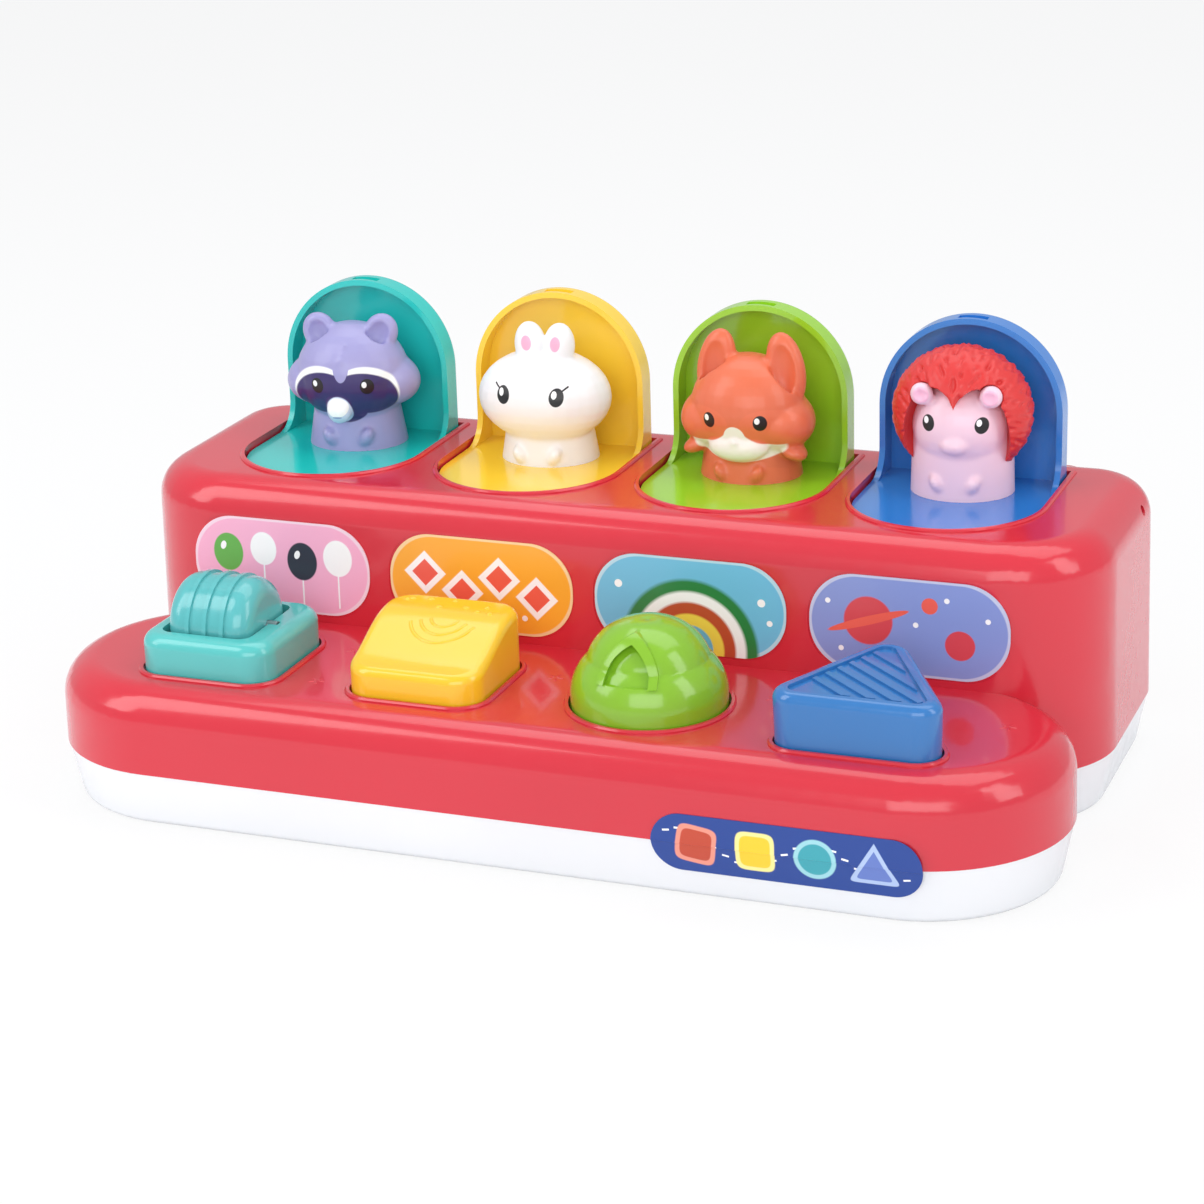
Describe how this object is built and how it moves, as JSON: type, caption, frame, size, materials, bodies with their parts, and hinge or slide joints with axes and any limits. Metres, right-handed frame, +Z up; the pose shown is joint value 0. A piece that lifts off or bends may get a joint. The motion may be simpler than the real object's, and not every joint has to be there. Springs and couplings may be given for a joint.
{
  "type": "pop-up toy",
  "caption": "Low rounded toy with hinged arched flaps that hold small animals, opened by a roller, wedge, dome and prism push button.",
  "frame": {"origin": "middle of the footprint on the surface that the toy stands on", "axes": "+Z up; +X to the right along the row of flaps; -Y towards the child, the side with the buttons"},
  "size_m": [0.308, 0.1673, 0.1325],
  "materials": {
    "shell_red": "glossy moulded plastic",
    "tray_white": "glossy moulded plastic",
    "flap_teal": "glossy moulded plastic",
    "flap_yellow": "glossy moulded plastic",
    "flap_green": "glossy moulded plastic",
    "flap_blue": "glossy moulded plastic",
    "roller_teal": "glossy moulded plastic",
    "steel": "drawn wire and plated screws",
    "spring_steel": "spring wire",
    "inner_grey": "plain moulded plastic",
    "figure_lavender": "soft vinyl with painted details",
    "figure_white": "soft vinyl with painted details",
    "figure_orange": "soft vinyl with painted details",
    "figure_pink": "soft vinyl with painted details",
    "spines_red": "soft vinyl with a rough relief",
    "label_1": "printed film",
    "label_2": "printed film",
    "label_3": "printed film",
    "label_4": "printed film",
    "label_front": "printed film"
  },
  "bodies": {
    "housing": {"top_housing": "shell_red", "base_tray": "tray_white", "hinge_rod": "steel", "keeper_bar": "inner_grey", "base_screws": "steel", "keeper_screws": "steel", "front_label": "label_front", "face_label_1": "label_1", "face_label_2": "label_2", "face_label_3": "label_3", "face_label_4": "label_4", "button_spring_1": "spring_steel", "button_spring_2": "spring_steel", "button_spring_3": "spring_steel", "button_spring_4": "spring_steel"},
    "flap_1": {"flap_teal": "flap_teal", "raccoon_figure": "figure_lavender", "figure_screw_1": "steel", "flap_spring_1": "spring_steel"},
    "button_1": {"roller_frame": "flap_teal", "roller_pin": "steel", "button_carrier_1": "inner_grey"},
    "latch_1": {"latch_slider_1": "inner_grey"},
    "flap_2": {"flap_yellow": "flap_yellow", "rabbit_figure": "figure_white", "figure_screw_2": "steel", "flap_spring_2": "spring_steel"},
    "button_2": {"wedge_button": "flap_yellow", "button_carrier_2": "inner_grey"},
    "latch_2": {"latch_slider_2": "inner_grey"},
    "flap_3": {"flap_green": "flap_green", "fox_figure": "figure_orange", "figure_screw_3": "steel", "flap_spring_3": "spring_steel"},
    "button_3": {"dome_button": "flap_green", "button_carrier_3": "inner_grey"},
    "latch_3": {"latch_slider_3": "inner_grey"},
    "flap_4": {"flap_blue": "flap_blue", "hedgehog_figure": "figure_pink", "figure_screw_4": "steel", "flap_spring_4": "spring_steel", "hedgehog_spines": "spines_red"},
    "button_4": {"triangle_button": "flap_blue", "button_carrier_4": "inner_grey"},
    "latch_4": {"latch_slider_4": "inner_grey"},
    "roller_drum": {"roller": "roller_teal"}
  },
  "joints": [
    {"name": "flap_1_hinge", "type": "hinge", "parent": "housing", "child": "flap_1", "pos_m": [-0.099, 0.0575, 0.077], "axis": [1, 0, 0], "range_deg": [0, 90], "stiffness_Nm_per_rad": 0.02, "springref_deg": -57.3},
    {"name": "button_1_press", "type": "slide", "parent": "housing", "child": "button_1", "axis": [0, 0, -1], "range_m": [0, 0.005], "stiffness_N_per_m": 300, "springref_m": -0.005, "deforming": ["button_spring_1"]},
    {"name": "latch_1_slide", "type": "slide", "parent": "housing", "child": "latch_1", "axis": [0, -1, 0], "range_m": [0, 0.0035]},
    {"name": "flap_2_hinge", "type": "hinge", "parent": "housing", "child": "flap_2", "pos_m": [-0.033, 0.0575, 0.077], "axis": [1, 0, 0], "range_deg": [0, 90], "stiffness_Nm_per_rad": 0.02, "springref_deg": -57.3},
    {"name": "button_2_press", "type": "slide", "parent": "housing", "child": "button_2", "axis": [0, 0, -1], "range_m": [0, 0.005], "stiffness_N_per_m": 300, "springref_m": -0.005, "deforming": ["button_spring_2"]},
    {"name": "latch_2_slide", "type": "slide", "parent": "housing", "child": "latch_2", "axis": [0, -1, 0], "range_m": [0, 0.0035]},
    {"name": "flap_3_hinge", "type": "hinge", "parent": "housing", "child": "flap_3", "pos_m": [0.033, 0.0575, 0.077], "axis": [1, 0, 0], "range_deg": [0, 90], "stiffness_Nm_per_rad": 0.02, "springref_deg": -57.3},
    {"name": "button_3_press", "type": "slide", "parent": "housing", "child": "button_3", "axis": [0, 0, -1], "range_m": [0, 0.005], "stiffness_N_per_m": 300, "springref_m": -0.005, "deforming": ["button_spring_3"]},
    {"name": "latch_3_slide", "type": "slide", "parent": "housing", "child": "latch_3", "axis": [0, -1, 0], "range_m": [0, 0.0035]},
    {"name": "flap_4_hinge", "type": "hinge", "parent": "housing", "child": "flap_4", "pos_m": [0.099, 0.0575, 0.077], "axis": [1, 0, 0], "range_deg": [0, 90], "stiffness_Nm_per_rad": 0.02, "springref_deg": -57.3},
    {"name": "button_4_press", "type": "slide", "parent": "housing", "child": "button_4", "axis": [0, 0, -1], "range_m": [0, 0.005], "stiffness_N_per_m": 300, "springref_m": -0.005, "deforming": ["button_spring_4"]},
    {"name": "latch_4_slide", "type": "slide", "parent": "housing", "child": "latch_4", "axis": [0, -1, 0], "range_m": [0, 0.0035]},
    {"name": "roller_spin", "type": "hinge", "parent": "button_1", "child": "roller_drum", "pos_m": [-0.1003, -0.0465, 0.0531], "axis": [1, 0, 0], "continuous": true}
  ],
  "couplings": [
    {"joint": "latch_1_slide", "follows": "button_1_press", "ratio": 0.7},
    {"joint": "latch_2_slide", "follows": "button_2_press", "ratio": 0.7},
    {"joint": "latch_3_slide", "follows": "button_3_press", "ratio": 0.7},
    {"joint": "latch_4_slide", "follows": "button_4_press", "ratio": 0.7}
  ]
}
